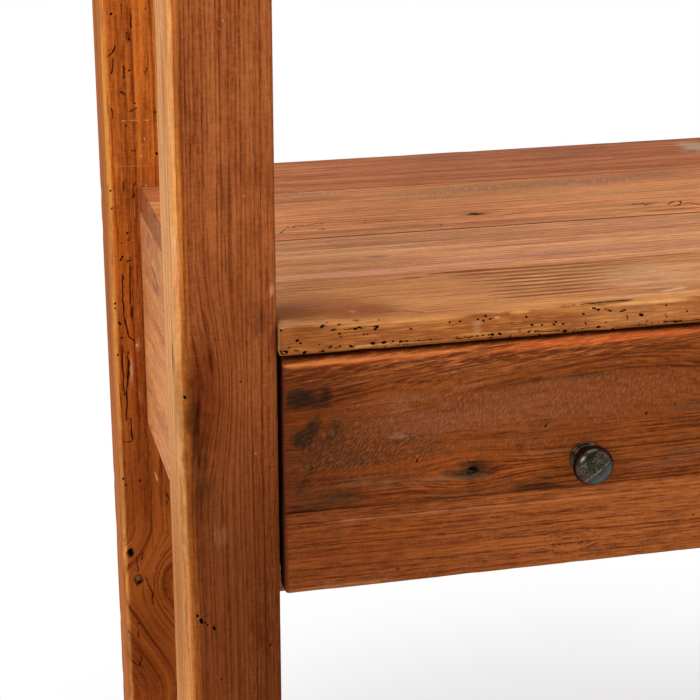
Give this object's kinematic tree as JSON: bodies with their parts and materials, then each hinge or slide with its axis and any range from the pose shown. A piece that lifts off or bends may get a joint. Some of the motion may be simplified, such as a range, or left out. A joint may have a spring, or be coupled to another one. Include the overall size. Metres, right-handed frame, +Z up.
{
  "type": "shelving unit",
  "caption": "Tall open shelving unit in reclaimed pine, with square posts, plank shelves notched round them and a pair of drawers with small iron knobs under the middle shelf.",
  "frame": {"origin": "on the floor, at the middle of the unit's bounding box, knobs included", "axes": "+Z up, front and knobs towards -Y, +X to the right as seen from the front"},
  "size_m": [1.06, 0.465, 1.85],
  "materials": {
    "post_wood": "oiled and waxed",
    "plank_wood": "oiled and waxed",
    "rail_wood": "oiled and waxed",
    "front_wood": "oiled and waxed",
    "inner_wood": "planed",
    "knob_iron": "hammered",
    "screw_steel": "plain",
    "glide_nylon": "matte"
  },
  "bodies": {
    "frame": {"post_front_left": "post_wood", "post_front_right": "post_wood", "post_back_left": "post_wood", "post_back_right": "post_wood", "bottom_shelf_plank_front": "plank_wood", "bottom_shelf_plank_mid_front": "plank_wood", "bottom_shelf_plank_mid_back": "plank_wood", "bottom_shelf_plank_back": "plank_wood", "drawer_shelf_plank_front": "plank_wood", "drawer_shelf_plank_mid_front": "plank_wood", "drawer_shelf_plank_mid_back": "plank_wood", "drawer_shelf_plank_back": "plank_wood", "upper_shelf_plank_front": "plank_wood", "upper_shelf_plank_mid_front": "plank_wood", "upper_shelf_plank_mid_back": "plank_wood", "upper_shelf_plank_back": "plank_wood", "top_shelf_plank_front": "plank_wood", "top_shelf_plank_mid_front": "plank_wood", "top_shelf_plank_mid_back": "plank_wood", "top_shelf_plank_back": "plank_wood", "bottom_rail_left": "rail_wood", "bottom_rail_right": "rail_wood", "upper_rail_left": "rail_wood", "upper_rail_right": "rail_wood", "top_rail_left": "rail_wood", "top_rail_right": "rail_wood", "bottom_rail_front": "rail_wood", "bottom_rail_back": "rail_wood", "upper_rail_front": "rail_wood", "upper_rail_back": "rail_wood", "top_rail_front": "rail_wood", "top_rail_back": "rail_wood", "side_panel_left": "rail_wood", "side_panel_right": "rail_wood", "back_apron": "rail_wood", "partition": "rail_wood", "front_bearer": "rail_wood", "runner_centre": "inner_wood", "runner_left": "inner_wood", "runner_right": "inner_wood", "shelf_dowels": "inner_wood", "runner_screws": "screw_steel", "glides": "glide_nylon"},
    "drawer_left": {"drawer_left_front_upper": "front_wood", "drawer_left_front_lower": "front_wood", "drawer_left_side_outer": "inner_wood", "drawer_left_side_inner": "inner_wood", "drawer_left_back": "inner_wood", "drawer_left_base": "inner_wood", "drawer_left_knob": "knob_iron", "drawer_left_knob_screw": "screw_steel"},
    "drawer_right": {"drawer_right_front_upper": "front_wood", "drawer_right_front_lower": "front_wood", "drawer_right_side_outer": "inner_wood", "drawer_right_side_inner": "inner_wood", "drawer_right_back": "inner_wood", "drawer_right_base": "inner_wood", "drawer_right_knob": "knob_iron", "drawer_right_knob_screw": "screw_steel"}
  },
  "joints": [
    {"name": "drawer_left_slide", "type": "slide", "parent": "frame", "child": "drawer_left", "axis": [0, -1, 0], "range_m": [0, 0.3]},
    {"name": "drawer_right_slide", "type": "slide", "parent": "frame", "child": "drawer_right", "axis": [0, -1, 0], "range_m": [0, 0.3]}
  ]
}
